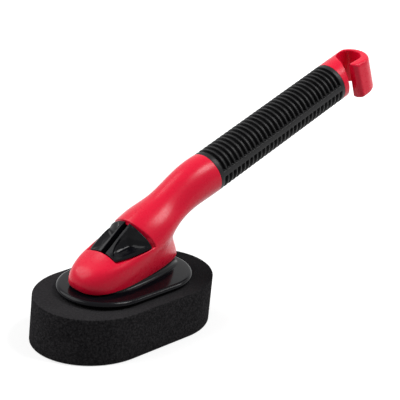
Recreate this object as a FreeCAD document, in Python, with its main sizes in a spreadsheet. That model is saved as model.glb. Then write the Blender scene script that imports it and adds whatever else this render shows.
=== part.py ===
import FreeCAD, Part
# Foam sponge brush: a replaceable foam pad on a plate, held by two pinch tabs in a red
# handle with a ribbed grip and a hanging hook.  Millimetres, +Z up, origin at the centre of
# the foam's working face, -X towards the toe and +X towards the hook.
import math
import os
import Sketcher

Vector = FreeCAD.Vector
doc = FreeCAD.newDocument("FoamSpongeBrush")
sheet = doc.addObject("Spreadsheet::Sheet", "Sizes")

sizes = {
    # foam block
    "padLength": 150.0,
    "padWidth": 80.5,
    "padStraight": 55.5,       # length of the parallel flanks between the oval ends
    "padThickness": 34.3,
    "glueThickness": 0.4,
    "glueMargin": 1.0,
    # pad plate
    "plateLength": 111.0,
    "plateWidth": 64.5,
    "plateStraight": 39.0,
    "plateThickness": 3.2,
    "plateEdgeRound": 1.4,
    "bondStep": 1.8,           # the glued face stands this far below the rim
    "bondInset": 4.0,
    "plinthOverhang": 1.4,     # the shell's edge reaches this far past the plinth
    "plinthFlare": 4.0,
    "mouthGap": 0.4,
    "registerHeight": 2.0,
    # catch on the plate and the legs that hook into it
    "catchX": -8.0,
    "catchLength": 9.0,
    "catchWall": 2.5,
    "catchLipZ": 48.8,
    "catchLipHeight": 2.5,
    "legLength": 12.0,
    "legThickness": 3.0,
    "legInnerY": 4.0,
    "barbReach": 2.2,
    "barbHeight": 2.4,
    "barbGap": 0.3,
    "sideGap": 0.4,
    # head shell
    "wall": 2.4,
    "cavityEnd": 4.8,          # the section at which the hollow stops
    "mouthEgg": 0.35,          # how much wider the toe end of the mouth is than its middle
    "windowFrontX": -24.8,
    "windowFloorZ": 61.0,
    "windowFloorAngle": 13.0,
    "windowBackX": -2.3,
    "windowBackRadius": 33.0,
    # pinch tabs
    "tabGap": 0.5,
    "tabFlush": 0.3,
    "slotWidth": 4.3,
    "tabTravel": 1.4,
    "flangeReach": 1.8,
    "flangeThickness": 1.5,
    "scoopX": -13.0,           # centre of the lens that each finger scoop is part of
    "scoopY": 6.2,
    "scoopZ": 78.6,
    "scoopRadius": 17.0,
    "scoopHalfDepth": 4.0,
    "scoopRise": 31.6,         # the way the lens faces: up from level, and round from +X
    "scoopHeading": 127.2,
    # carrier plate under the tabs
    "runGap": 0.3,
    "carrierThickness": 2.5,
    "carrierFrontX": -22.0,
    "carrierBackX": 17.0,
    "screwX": 12.0,
    "screwY": 8.0,
    "screwRadius": 1.4,
    "screwHeadRadius": 2.8,
    "screwHeadHeight": 1.8,
    "screwLength": 11.0,
    "bossRadius": 3.4,
    "pinClearance": 0.08,
    # return spring between the legs
    "springRadius": 2.4,
    "springWire": 0.6,
    "springTurns": 5.0,
    "springZ": 55.0,
    "pegRadius": 1.7,
    "pegLength": 1.5,
    # handle axis, tube and grip
    "gripStartX": 74.7,
    "gripStartZ": 100.7,
    "handleAngle": 18.6,
    "gripLength": 141.9,
    "gripRadius": 15.6,
    "tubeRadius": 12.5,
    "tubeWall": 2.5,
    "socketDepth": 24.0,
    "sleeveClearance": 0.1,
    "grooveCount": 30.0,
    "groovePitch": 4.52,
    "grooveWidth": 2.3,
    "grooveDepth": 1.3,
    "topRibAngle": 144.0,
    "underRibAngle": 180.0,
    # hook cap
    "collarLength": 5.0,
    "spigotLength": 24.0,
    "spigotClearance": 0.15,
    "lockPinRadius": 1.5,
    "lockPinSetback": 12.0,
    "hookCentre": 21.6,        # from the grip's end along the handle
    "hookSide": -4.0,
    "hookTopRadius": 14.1,
    "hookBottomRadius": 16.4,
    "hookTop": 14.2,           # above the handle's axis at the hook's centre
    "hookTopAngle": 6.8,
    "hookBottom": 15.3,
    "armStart": 12.0,
    "eyeRadius": 9.4,
    "eyeSide": -2.3,
    "tongueTip": 11.0,
    "tongueDraft": 0.09,
    "tongueRound": 4.5,
    "tongueInnerY": -11.7,
}

# the head is drawn through upright sections that fan out about the heel: each runs from a
# point of the top line to a point of the heel line, with its half width and squareness
headSections = (
    # topX, topZ, heelX, heelZ, halfWidth, squareness
    (-46.1, 41.0, 48.0, 46.5, 17.8, 2.6),
    (-47.4, 48.4, 43.3, 55.7, 20.3, 2.35),
    (-41.0, 56.4, 39.5, 63.5, 21.3, 2.15),
    (-24.8, 64.0, 39.4, 70.5, 21.3, 2.0),
    (-2.5, 81.6, 46.2, 75.0, 19.0, 1.8),
    (22.0, 92.6, 56.0, 79.0, 15.6, 1.88),
    (45.0, 106.0, 67.5, 82.2, 15.1, 2.0),
)
sectionColumns = ("topX", "topZ", "heelX", "heelZ", "halfWidth", "squareness")
for number, section in enumerate(headSections):
    for column, value in zip(sectionColumns, section):
        sizes[column + "At" + "abcdefg"[number]] = value

for row, (alias, value) in enumerate(sizes.items(), start=1):
    sheet.set("A%d" % row, alias)
    sheet.set("B%d" % row, str(value))
    sheet.setAlias("B%d" % row, alias)
doc.recompute()


def size(alias):
    return float(sheet.get(alias))


def feature(name, shape):
    """A shape worked out in code, as an object of the document."""
    made = doc.addObject("Part::Feature", name)
    made.Shape = shape
    return made


def boolean(kind, name, base, tool):
    made = doc.addObject("Part::" + kind, name)
    made.Base = base
    made.Tool = tool
    return made


def fused(name, shapes):
    made = doc.addObject("Part::MultiFuse", name)
    made.Shapes = shapes
    made.Refine = True
    return made


# ---------------------------------------------------------------- flat oval pieces
def ovalFace(length, width, straight, z):
    """A face with straight flanks and half-ellipse ends, centred on the Z axis."""
    endX = (length - straight) / 2
    edges = []
    for side in (1, -1):
        arc = Part.makeCircle(1, Vector(0, 0, 0), Vector(0, 0, 1), 90 - 180, 90)
        place = FreeCAD.Matrix(side * endX, 0, 0, side * straight / 2,
                               0, side * width / 2, 0, 0,
                               0, 0, 1, z)
        edges.append(arc.transformGeometry(place))
    tips = [Vector(s * straight / 2, t * width / 2, z) for s, t in ((1, 1), (-1, 1), (-1, -1), (1, -1))]
    edges.append(Part.makeLine(tips[0], tips[1]))
    edges.append(Part.makeLine(tips[2], tips[3]))
    return Part.Face(Part.Wire(Part.__sortEdges__(edges)))


def ovalSlab(name, face, height):
    """The oval face raised by a height that the sheet gives."""
    outline = feature(name + "Outline", face)
    slab = doc.addObject("Part::Extrusion", name)
    slab.Base = outline
    slab.DirMode = "Custom"
    slab.Dir = Vector(0, 0, 1)
    slab.Solid = True
    slab.setExpression("LengthFwd", height)
    return slab


# ---------------------------------------------------------------- head surface
def spline(points):
    """A smooth curve through points that are one apart in its parameter."""
    curve = Part.BSplineCurve()
    curve.interpolate(Points=points, Parameters=[float(k) for k in range(len(points))])
    return curve


handle = FreeCAD.Placement(Vector(size("gripStartX"), 0, size("gripStartZ")),
                           FreeCAD.Rotation(Vector(0, 1, 0), 90 - size("handleAngle")))
sectionRows = [[size(column + "At" + letter) for column in sectionColumns] for letter in "abcdefg"]
gripTop = handle.multVec(Vector(-size("gripRadius"), 0, 0))
gripUnder = handle.multVec(Vector(size("gripRadius"), 0, 0))
sectionRows.append([gripTop.x, gripTop.z, gripUnder.x, gripUnder.z, size("gripRadius"), 2.0])
topLine = spline([Vector(row[0], 0, row[1]) for row in sectionRows])
heelLine = spline([Vector(row[2], 0, row[3]) for row in sectionRows])
widthLine = spline([Vector(k, row[4], row[5]) for k, row in enumerate(sectionRows)])
lastSection = len(sectionRows) - 1


seamOverlap = 4      # points by which a section's row runs on past its own start
sectionSteps = 48


def headRow(t, inset):
    """Points round section t of the head, drawn in by inset: a superellipse between the
    top line and the heel line, which starts at the heel and overlaps itself a little."""
    top, heel, form = topLine.value(t), heelLine.value(t), widthLine.value(t)
    across = (top - heel).normalize()
    top = top - across * (inset / abs(across.cross(topLine.tangent(t)[0]).y))
    heel = heel + across * (inset / abs(across.cross(heelLine.tangent(t)[0]).y))
    middle, reach = (top + heel) * 0.5, (top - heel) * 0.5
    width, power = form.y - inset, 2 / form.z
    egg = size("mouthEgg") * 0.4 ** t
    points = []
    for k in range(-seamOverlap, sectionSteps + seamOverlap + 1):
        turn = math.pi + 2 * math.pi * k / sectionSteps
        along = math.copysign(abs(math.cos(turn)) ** power, math.cos(turn))
        side = math.copysign(abs(math.sin(turn)) ** power, math.sin(turn))
        points.append(middle + reach * along + Vector(0, width * side * (1 + egg * along), 0))
    return points


def planeCap(edge):
    """The flat face inside one closed edge."""
    low, high = edge.FirstParameter, edge.LastParameter
    first, second, third = [edge.valueAt(low + part * (high - low)) for part in (0, 0.3, 0.6)]
    normal = (second - first).cross(third - first).normalize()
    return Part.Face(Part.Plane(first, normal), Part.Wire(edge))


def headSolid(inset, last, steps, lowered=0):
    """The head from its mouth to section last, drawn in by inset, with its mouth end
    carried on below the mouth by lowered."""
    rows = [headRow(last * k / steps, inset) for k in range(steps + 1)]
    if lowered:
        rows.insert(0, [point - mouthNormal * lowered for point in rows[0]])
    surface = Part.BSplineSurface()
    surface.interpolate(rows)
    knots = surface.getVKnots()
    surface.segment(0, 1, knots[seamOverlap], knots[seamOverlap + sectionSteps])
    ends = [planeCap(surface.uIso(u).toShape()) for u in (0, 1)]
    skin = Part.makeCompound([surface.toShape()] + ends)
    skin.sewShape(1e-4)
    solid = Part.Solid(skin.Shells[0])
    if solid.Volume < 0:
        solid.reverse()
    return solid


def outlineWire(points):
    """A smooth closed wire through one turn of a section's row."""
    outline = Part.BSplineCurve()
    outline.interpolate(Points=points[seamOverlap:seamOverlap + sectionSteps], PeriodicFlag=True)
    return Part.Wire(outline.toShape())


mouthRun = Vector(size("heelXAta") - size("topXAta"), 0, size("heelZAta") - size("topZAta"))
mouthNormal = Vector(-mouthRun.z, 0, mouthRun.x).normalize()


def mouthPrism(inset, low, high):
    """The mouth's outline drawn in by inset, from low to high along the mouth's normal."""
    wire = outlineWire(headRow(0, inset))
    wire.translate(mouthNormal * low)
    return Part.Face(wire).extrude(mouthNormal * (high - low))


def floorZ(x):
    """Height of the window's sloping floor plane at x."""
    rise = math.tan(math.radians(size("windowFloorAngle")))
    return size("windowFloorZ") + (x - size("windowFrontX")) * rise


def floorSlab(lowX, highX, low, high):
    """A slab along the window's floor plane, across the whole head; low and high are
    measured along the plane's normal."""
    halfSpan = size("gripRadius") * 3
    upright = math.cos(math.radians(size("windowFloorAngle")))
    corners = [Vector(x, -halfSpan, floorZ(x) + rise / upright) for x, rise in
               ((lowX, low), (highX, low), (highX, high), (lowX, high), (lowX, low))]
    return Part.Face(Part.makePolygon(corners)).extrude(Vector(0, 2 * halfSpan, 0))


def windowTool(gap):
    """What the window takes out of the head, drawn in by gap on every side."""
    radius = size("windowBackRadius")
    block = floorSlab(size("windowFrontX") + gap, size("windowBackX") + radius, gap,
                      size("gripStartZ"))
    bulge = Part.makeCylinder(radius + gap, 2 * size("gripStartZ"),
                              Vector(size("windowBackX") + radius, 0, 0))
    return block.cut(bulge)


floorUp = Vector(-math.sin(math.radians(size("windowFloorAngle"))), 0,
                 math.cos(math.radians(size("windowFloorAngle"))))
carrierTop = -size("flangeThickness") - size("runGap")
carrierBottom = carrierTop - size("carrierThickness")
legOuterY = size("legInnerY") + size("legThickness")
insideFit = size("wall") + size("runGap")
tubeBore = size("tubeRadius") - size("tubeWall")


def screwPoint(side, rise):
    """Point on a carrier screw's axis, rise above the window's floor plane."""
    x = size("screwX")
    return Vector(x, side * size("screwY"), floorZ(x)) + floorUp * rise


def rod(radius, length, start, direction):
    return Part.makeCylinder(radius, length, start, direction)


def handleRod(radius, fromS, toS):
    """A cylinder about the handle's axis between two stations along it."""
    return rod(radius, toS - fromS, handle.multVec(Vector(0, 0, fromS)),
               handle.Rotation.multVec(Vector(0, 0, 1)))


# ---------------------------------------------------------------- the sub-parts
def makeFoam():
    face = ovalFace(size("padLength"), size("padWidth"), size("padStraight"), 0)
    return ovalSlab("foam_pad", face, "Sizes.padThickness")


def bondFace(inset, z):
    """The plate's glued face, drawn in by inset."""
    cut = 2 * (size("bondInset") + inset)
    return ovalFace(size("plateLength") - cut, size("plateWidth") - cut, size("plateStraight"), z)


def makeGlue():
    return ovalSlab("pad_adhesive", bondFace(size("glueMargin"), size("padThickness")),
                    "Sizes.glueThickness")


def makePlate():
    """Rimmed plate with a plinth under the shell, a register inside it and two catches."""
    bondZ = size("padThickness") + size("glueThickness")
    rimZ = bondZ + size("bondStep")
    topZ = rimZ + size("plateThickness")
    flange = ovalFace(size("plateLength"), size("plateWidth"), size("plateStraight"), rimZ)
    flange = flange.extrude(Vector(0, 0, size("plateThickness")))
    rim = [edge for edge in flange.Edges if edge.BoundBox.ZMin > topZ - 0.01]
    flange = flange.makeFillet(size("plateEdgeRound"), rim)
    step = bondFace(0, bondZ).extrude(Vector(0, 0, size("bondStep") + size("plateThickness") / 2))
    upper = outlineWire(headRow(0, size("plinthOverhang")))
    upper.translate(mouthNormal * -size("mouthGap"))
    spread = headRow(0, size("plinthOverhang") - size("plinthFlare"))
    sunk = topZ - size("plateThickness") / 2
    lower = outlineWire([Vector(point.x, point.y, sunk) for point in spread])
    plinth = Part.makeLoft([lower, upper], True, True)
    register = mouthPrism(size("wall"), -2 * size("mouthGap"), size("registerHeight"))
    register = register.common(headSolid(insideFit, size("cavityEnd"), 20, size("wall")))
    pieces = [feature("plateFlange", flange), feature("plateStep", step),
              feature("platePlinth", plinth), feature("plateRegister", register)]
    barbY = legOuterY + size("barbReach")
    wallY = barbY + size("sideGap")
    lipY = barbY - size("tabTravel") + size("barbGap")
    lipTop = size("catchLipZ") + size("catchLipHeight")
    for side in (1, -1):
        lowX = size("catchX") - size("catchLength") / 2
        wall = Part.makeBox(size("catchLength"), size("catchWall"), lipTop - topZ,
                            Vector(lowX, wallY, topZ))
        lip = Part.makeBox(size("catchLength"), wallY - lipY + size("catchWall"),
                           size("catchLipHeight"), Vector(lowX, lipY, size("catchLipZ")))
        catch = wall.fuse(lip)
        if side < 0:
            catch = catch.mirror(Vector(0, 0, 0), Vector(0, 1, 0))
        pieces.append(feature("plateCatch", catch))
    return fused("pad_plate", pieces)


def makeShell():
    """The red head and neck: open at the mouth, with the tabs' window, two screw bosses
    and the socket that takes the handle's tube."""
    outer = feature("headOuter", headSolid(0, lastSection, 28))
    cavity = headSolid(size("wall"), size("cavityEnd"), 20, size("wall"))
    hollowed = boolean("Cut", "headHollow", outer, feature("headCavity", cavity))
    opened = boolean("Cut", "headWindowed", hollowed, feature("headWindow", windowTool(0)))
    inside = headSolid(size("wall") / 2, lastSection, 28)
    parts, bores = [opened], []
    for side in (1, -1):
        foot = screwPoint(side, carrierTop)
        boss = rod(size("bossRadius"), size("gripStartZ"), foot, floorUp).common(inside)
        parts.append(feature("headBoss", boss))
        bores.append(rod(size("screwRadius") + size("pinClearance"), size("screwLength"),
                         foot, floorUp))
    bores.append(handleRod(size("tubeRadius") + size("sleeveClearance"), -size("socketDepth"),
                           size("socketDepth")))
    bossed = fused("headBossed", parts)
    bossed.Refine = False
    return boolean("Cut", "head_shell", bossed, feature("headBores", Part.makeCompound(bores)))


def makeTab():
    """The right pinch tab: a window block with a finger scoop, a flange kept under the
    shell, and a barbed leg that reaches down to the plate's catch."""
    span = 4 * size("gripRadius")
    sideBlock = Part.makeBox(2 * span, span, 2 * span, Vector(-span, size("slotWidth") / 2, 0))
    block = headSolid(size("tabFlush"), lastSection, 28).common(windowTool(size("tabGap")))
    pressed = windowTool(size("runGap"))
    pressed.translate(Vector(0, size("tabTravel"), 0))
    block = block.common(pressed)
    scoop = Part.makeSphere(1)
    stretch = FreeCAD.Matrix()
    stretch.scale(size("scoopHalfDepth"), size("scoopRadius"), size("scoopRadius"))
    scoop = scoop.transformGeometry(stretch)
    scoop.rotate(Vector(0, 0, 0), Vector(0, 1, 0), -size("scoopRise"))
    scoop.rotate(Vector(0, 0, 0), Vector(0, 0, 1), size("scoopHeading"))
    scoop.translate(Vector(size("scoopX"), size("scoopY"), size("scoopZ")))
    block = block.common(sideBlock).cut(scoop)
    reach = size("flangeReach")
    inner = headSolid(insideFit, size("cavityEnd"), 20)
    radius = size("windowBackRadius")
    bulge = Part.makeCylinder(radius - reach, 2 * size("gripStartZ"),
                              Vector(size("windowBackX") + radius, 0, 0))
    flange = floorSlab(size("windowFrontX") - reach, size("windowBackX") + radius,
                       -size("flangeThickness"), size("tabGap") + size("flangeThickness"))
    flange = flange.common(inner).common(sideBlock).cut(bulge)
    legX = size("catchX") - size("legLength") / 2
    barbTop = size("catchLipZ") - size("barbGap")
    legZ = barbTop - size("barbHeight")
    leg = Part.makeBox(size("legLength"), size("legThickness"),
                       floorZ(legX) + size("flangeThickness") / 2 - legZ,
                       Vector(legX, size("legInnerY"), legZ))
    barb = Part.makeBox(size("catchLength"), size("barbReach") + size("legThickness"),
                        size("barbHeight"),
                        Vector(size("catchX") - size("catchLength") / 2, size("legInnerY"), legZ))
    peg = rod(size("pegRadius"), size("pegLength") + size("legThickness"),
              Vector(size("catchX"), size("legInnerY") - size("pegLength"), size("springZ")),
              Vector(0, 1, 0))
    pieces = [feature("tabBlock", block), feature("tabFlange", flange), feature("tabLeg", leg),
              feature("tabBarb", barb), feature("tabPeg", peg)]
    return fused("tab_right", pieces)


def makeMirroredTab(tab):
    mirrored = doc.addObject("Part::Mirroring", "tab_left")
    mirrored.Source = tab
    mirrored.Normal = Vector(0, 1, 0)
    return mirrored


def makeCarrier():
    """The plate that the tabs slide on, screwed up against the shell's bosses."""
    slab = floorSlab(size("carrierFrontX"), size("carrierBackX"), carrierBottom, carrierTop)
    slab = slab.common(headSolid(insideFit, size("cavityEnd"), 20))
    gap = size("runGap")
    well = Part.makeBox(size("legLength") + 2 * gap, 2 * (legOuterY + gap), size("gripStartZ"),
                        Vector(size("catchX") - size("legLength") / 2 - gap, -legOuterY - gap, 0))
    bores = [rod(size("screwRadius") + gap, size("screwLength"),
                 screwPoint(side, carrierBottom - gap), floorUp) for side in (1, -1)]
    tools = feature("carrierCuts", Part.makeCompound([well] + bores))
    return boolean("Cut", "tab_carrier", feature("carrierSlab", slab), tools)


def makeScrews():
    """Two pan-head screws, as one group."""
    screws = []
    for side in (1, -1):
        head = rod(size("screwHeadRadius"), size("screwHeadHeight"),
                   screwPoint(side, carrierBottom - size("screwHeadHeight")), floorUp)
        shank = rod(size("screwRadius"), size("screwLength"), screwPoint(side, carrierBottom),
                    floorUp)
        screws.append(head.fuse(shank))
    return feature("carrier_screws", Part.makeCompound(screws))


def makeSpring():
    """Compression spring across the head, between the two legs."""
    length = 2 * (size("legInnerY") - size("springWire") / 2 - size("pinClearance"))
    coil = Part.makeHelix(length / size("springTurns"), length, size("springRadius"))
    start = Part.makeCircle(size("springWire") / 2, Vector(size("springRadius"), 0, 0),
                            Vector(0, 1, 0))
    wire = Part.Wire(coil.Edges).makePipeShell([Part.Wire(start)], True, True)
    spring = feature("tab_spring", wire)
    spring.Placement = FreeCAD.Placement(Vector(size("catchX"), length / 2, size("springZ")),
                                         FreeCAD.Rotation(Vector(1, 0, 0), 90))
    return spring


def originPlane(body, role):
    return [item for item in body.Origin.OriginFeatures if item.Role == role][0]


def ringSketch(body, name, outerRadius, innerRadius):
    """Two circles about the body's own axis, with their radii bound to the sheet."""
    sketch = body.newObject("Sketcher::SketchObject", name)
    sketch.AttachmentSupport = (originPlane(body, "XY_Plane"), "")
    sketch.MapMode = "FlatFace"
    for index, (label, radius) in enumerate((("outer", outerRadius), ("inner", innerRadius))):
        sketch.addGeometry(Part.Circle(Vector(0, 0, 0), Vector(0, 0, 1), 10 + index))
        sketch.addConstraint(Sketcher.Constraint("Coincident", index, 3, -1, 1))
        bound = sketch.addConstraint(Sketcher.Constraint("Radius", index, 10 + index))
        sketch.renameConstraint(bound, label)
        sketch.setExpression("Constraints." + label, radius)
    return sketch


def makeTube():
    """The straight tube inside the grip, from the neck's socket to the hook cap."""
    body = doc.addObject("PartDesign::Body", "core_tube")
    ring = ringSketch(body, "tubeRing", "Sizes.tubeRadius", "Sizes.tubeRadius - Sizes.tubeWall")
    pad = body.newObject("PartDesign::Pad", "tubePad")
    pad.Profile = ring
    pad.setExpression("Length", "Sizes.gripLength + Sizes.socketDepth")
    doc.recompute()
    cross = body.newObject("Sketcher::SketchObject", "tubeCross")
    cross.AttachmentSupport = (originPlane(body, "XZ_Plane"), "")
    cross.MapMode = "FlatFace"
    cross.addGeometry(Part.Circle(Vector(0, 100, 0), Vector(0, 0, 1), 2))
    cross.addConstraint(Sketcher.Constraint("PointOnObject", 0, 3, -2))
    cross.addConstraint(Sketcher.Constraint("DistanceY", -1, 1, 0, 3, 100))
    cross.renameConstraint(1, "station")
    cross.addConstraint(Sketcher.Constraint("Radius", 0, 2))
    cross.renameConstraint(2, "bore")
    cross.setExpression("Constraints.station",
                        "Sizes.gripLength + Sizes.socketDepth - Sizes.lockPinSetback")
    cross.setExpression("Constraints.bore", "Sizes.lockPinRadius + Sizes.pinClearance")
    pocket = body.newObject("PartDesign::Pocket", "tubeCrossHole")
    pocket.Profile = cross
    pocket.Type = "ThroughAll"
    pocket.Midplane = True
    body.Tip = pocket
    body.Placement = handle.multiply(FreeCAD.Placement(Vector(0, 0, -size("socketDepth")),
                                                       FreeCAD.Rotation()))
    return body


def ringSector(body, name, turn, angle, low, high):
    """Raised band on the sleeve between two stations, angle wide about the turn."""
    sketch = body.newObject("Sketcher::SketchObject", name + "Sketch")
    sketch.AttachmentSupport = (originPlane(body, "XZ_Plane"), "")
    sketch.MapMode = "FlatFace"
    sketch.AttachmentOffset = FreeCAD.Placement(Vector(0, 0, 0),
                                                FreeCAD.Rotation(Vector(0, 1, 0), turn))
    corners = [Vector(13, 4, 0), Vector(16, 4, 0), Vector(16, 6, 0), Vector(13, 6, 0)]
    for index in range(4):
        sketch.addGeometry(Part.LineSegment(corners[index], corners[(index + 1) % 4]))
    for index in range(4):
        sketch.addConstraint(Sketcher.Constraint("Coincident", index, 2, (index + 1) % 4, 1))
    for index, kind in enumerate(("Horizontal", "Vertical", "Horizontal", "Vertical")):
        sketch.addConstraint(Sketcher.Constraint(kind, index))
    bounds = (("root", "DistanceX", 1, 13, "Sizes.tubeRadius + Sizes.grooveDepth"),
              ("crest", "DistanceX", 2, 16, "Sizes.gripRadius"),
              ("low", "DistanceY", 1, 4, low), ("high", "DistanceY", 3, 6, high))
    for label, kind, corner, distance, formula in bounds:
        line, end = (0, corner) if corner < 3 else (1, 2)
        bound = sketch.addConstraint(Sketcher.Constraint(kind, -1, 1, line, end, distance))
        sketch.renameConstraint(bound, label)
        sketch.setExpression("Constraints." + label, formula)
    sector = body.newObject("PartDesign::Revolution", name)
    sector.Profile = sketch
    sector.ReferenceAxis = (sketch, ["V_Axis"])
    sector.Midplane = True
    sector.Refine = False
    sector.setExpression("Angle", angle)
    body.Tip = sector
    doc.recompute()
    return sector


def ribRow(body, name, turn, angle):
    """Ribs between the grooves, repeated along the sleeve."""
    end = "(Sizes.gripLength - Sizes.grooveWidth - Sizes.groovePitch * " \
          "(Sizes.grooveCount - 1)) / 2"
    rib = ringSector(body, name, turn, angle, end + " + Sizes.grooveWidth",
                     end + " + Sizes.groovePitch")
    row = body.newObject("PartDesign::LinearPattern", name + "Row")
    row.Originals = [rib]
    row.Direction = (rib.Profile[0], ["V_Axis"])
    row.Refine = False
    row.setExpression("Length", "Sizes.groovePitch * (Sizes.grooveCount - 2)")
    row.setExpression("Occurrences", "Sizes.grooveCount - 1")
    body.Tip = row
    doc.recompute()


def makeSleeve():
    """Rubber sleeve over the tube, ribbed across its top and its underside, with a plain
    strip along each side and a plain band round each end."""
    body = doc.addObject("PartDesign::Body", "grip_sleeve")
    ring = ringSketch(body, "sleeveRing", "Sizes.gripRadius - Sizes.grooveDepth",
                      "Sizes.tubeRadius + Sizes.sleeveClearance")
    pad = body.newObject("PartDesign::Pad", "sleevePad")
    pad.Profile = ring
    pad.setExpression("Length", "Sizes.gripLength")
    doc.recompute()
    band = "(Sizes.gripLength - Sizes.grooveWidth - Sizes.groovePitch * " \
           "(Sizes.grooveCount - 1)) / 2"
    ringSector(body, "lowerBand", 0, "360", "0", band)
    ringSector(body, "upperBand", 0, "360", "Sizes.gripLength - " + band, "Sizes.gripLength")
    ribRow(body, "topRib", 180, "Sizes.topRibAngle")
    ribRow(body, "underRib", 0, "Sizes.underRibAngle")
    plain = (360 - size("topRibAngle") - size("underRibAngle")) / 2
    middle = (size("underRibAngle") + plain) / 2
    for name, turn in (("nearStrip", middle), ("farStrip", -middle)):
        ringSector(body, name, turn, "(360 - Sizes.topRibAngle - Sizes.underRibAngle) / 2",
                   band, "Sizes.gripLength - " + band)
    body.Placement = handle
    return body


def hookPoint(along, side, down=0):
    """A point by its station past the grip's end, its side and its depth below the axis."""
    return handle.multVec(Vector(down, side, size("gripLength") + along))


def hookPrism(outlineAt):
    """A solid through the whole hook with straight sides between two outlines, each of them
    a list of stations and sides at one height above the handle's axis."""
    height = size("hookTop") + size("hookBottom")
    wires = [Part.makePolygon([hookPoint(s, y, -rise) for s, y in outlineAt(rise)])
             for rise in (height, -height)]
    return Part.makeLoft(wires, True, True)


def tangentPoint(fromS, fromY, centreY, radius, turn):
    """Where a line from a point touches a circle round the hook's centre station."""
    spanS, spanY = size("hookCentre") - fromS, centreY - fromY
    distance = math.hypot(spanS, spanY)
    heading = math.atan2(spanY, spanS) + turn * math.asin(radius / distance)
    run = math.sqrt(distance ** 2 - radius ** 2)
    return fromS + run * math.cos(heading), fromY + run * math.sin(heading)


def hookRadius(rise):
    """The hook's outer radius at a height above the handle's axis."""
    part = (size("hookTop") - rise) / (size("hookTop") + size("hookBottom"))
    return size("hookTopRadius") + part * (size("hookBottomRadius") - size("hookTopRadius"))


def tongueTip(rise):
    return size("tongueTip") + size("tongueDraft") * (size("hookTop") - rise)


def flankOutline(rise):
    """The hook's straight flanks: the tongue on one side, the arm on the other."""
    centre, near = size("hookCentre"), size("hookSide") - hookRadius(rise)
    touch = tangentPoint(size("armStart"), size("gripRadius"), size("hookSide"),
                         hookRadius(rise), 1)
    return [(tongueTip(rise), 0), (tongueTip(rise), near), (centre, near), touch,
            (size("armStart"), size("gripRadius")), (0, size("gripRadius")), (0, 0),
            (tongueTip(rise), 0)]


def mouthOutline(rise):
    """The hook's way in: between the collar's face and the tongue, up to the eye."""
    edgeS, edgeY = size("collarLength"), -size("gripRadius")
    centre, clear = size("hookCentre"), -4 * size("gripRadius")
    touch = tangentPoint(edgeS, edgeY, size("eyeSide"), size("eyeRadius"), 1)
    return [(edgeS, clear), (edgeS, edgeY), touch, (centre, size("eyeSide")),
            (centre, size("tongueInnerY")), (tongueTip(rise), size("tongueInnerY")),
            (tongueTip(rise), clear), (edgeS, clear)]


def makeHook():
    """Cap that plugs the tube: a round collar that runs on into a hook open to one side."""
    down = handle.Rotation.multVec(Vector(1, 0, 0))
    height = size("hookTop") + size("hookBottom")
    centre, length = size("hookCentre"), size("gripLength")
    span = centre + 2 * size("hookBottomRadius")
    cone = Part.makeCone(hookRadius(height), size("hookBottomRadius"),
                         height + size("hookBottom"),
                         hookPoint(centre, size("hookSide"), -height), down)
    round_ = handleRod(size("gripRadius"), length, length + span)
    tongue = Part.makeBox(2 * span, span, span, Vector(-span, size("tongueInnerY") - span + 1,
                                                       length + tongueTip(height)))
    outerHalf = Part.makeBox(2 * span, span, span, Vector(-span, -span, length + centre))
    local = tongue.fuse(outerHalf)
    local.Placement = handle.multiply(local.Placement)
    wedge = Part.makeBox(2 * height, 2 * span, 3 * span, Vector(0, -span, -1.5 * span))
    wedge.Placement = handle.multiply(FreeCAD.Placement(
        Vector(-size("hookTop"), 0, length + centre),
        FreeCAD.Rotation(Vector(0, 1, 0), size("hookTopAngle"))))
    flanks = hookPrism(flankOutline)
    corner = [hookPoint(tongueTip(rise), size("hookSide") - hookRadius(rise), -rise)
              for rise in (height, -height)]
    tipEdge = [edge for edge in flanks.Edges
               if edge.distToShape(Part.makeLine(*corner))[0] < 0.001
               and abs(edge.Length - corner[0].distanceToPoint(corner[1])) < 0.001]
    flanks = flanks.makeFillet(size("tongueRound"), tipEdge)
    bend = cone.fuse(flanks).common(round_.fuse(local)).common(wedge)
    floor = Part.makeBox(2 * height, 2 * span, 2 * span)
    floor.Placement = handle.multiply(FreeCAD.Placement(
        Vector(size("hookBottom") - 2 * height, -span, length), FreeCAD.Rotation()))
    bend = bend.common(floor)
    collar = handleRod(size("gripRadius"), length, length + size("armStart"))
    spigot = handleRod(tubeBore - size("spigotClearance"), length - size("spigotLength"),
                       length + 1)
    body = fused("hookBody", [feature("hookBend", bend), feature("hookCollar", collar),
                              feature("hookSpigot", spigot)])
    eye = rod(size("eyeRadius"), 2 * height, hookPoint(centre, size("eyeSide"), -height), down)
    bore = lockPinRod(size("lockPinRadius") + size("pinClearance"), size("tubeRadius"))
    cuts = feature("hookCuts", eye.fuse(hookPrism(mouthOutline)))
    opened = boolean("Cut", "hookOpened", body, cuts)
    return boolean("Cut", "hook_cap", opened, feature("hookBore", bore))


def lockPinRod(radius, halfLength):
    """A rod across the tube at the lock pin's station."""
    station = size("gripLength") - size("lockPinSetback")
    return rod(radius, 2 * halfLength, handle.multVec(Vector(0, -halfLength, station)),
               Vector(0, 1, 0))


def makeLockPin():
    return feature("lock_pin", lockPinRod(size("lockPinRadius"),
                                          size("tubeRadius") - size("pinClearance")))


rightTab = makeTab()
subParts = [makeFoam(), makeGlue(), makePlate(), makeShell(), rightTab,
            makeMirroredTab(rightTab), makeCarrier(), makeScrews(), makeSpring(), makeTube(),
            makeSleeve(), makeHook(), makeLockPin()]
doc.recompute()

for item in doc.Objects:
    if {"Invalid", "Error"} & set(item.State):
        raise RuntimeError("%s failed: %s" % (item.Name, item.State))
for part in subParts:
    part.Label = part.Name
    if part.Shape.isNull() or not part.Shape.isValid() or not part.Shape.Solids:
        raise RuntimeError("%s has no valid solid" % part.Label)

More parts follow.
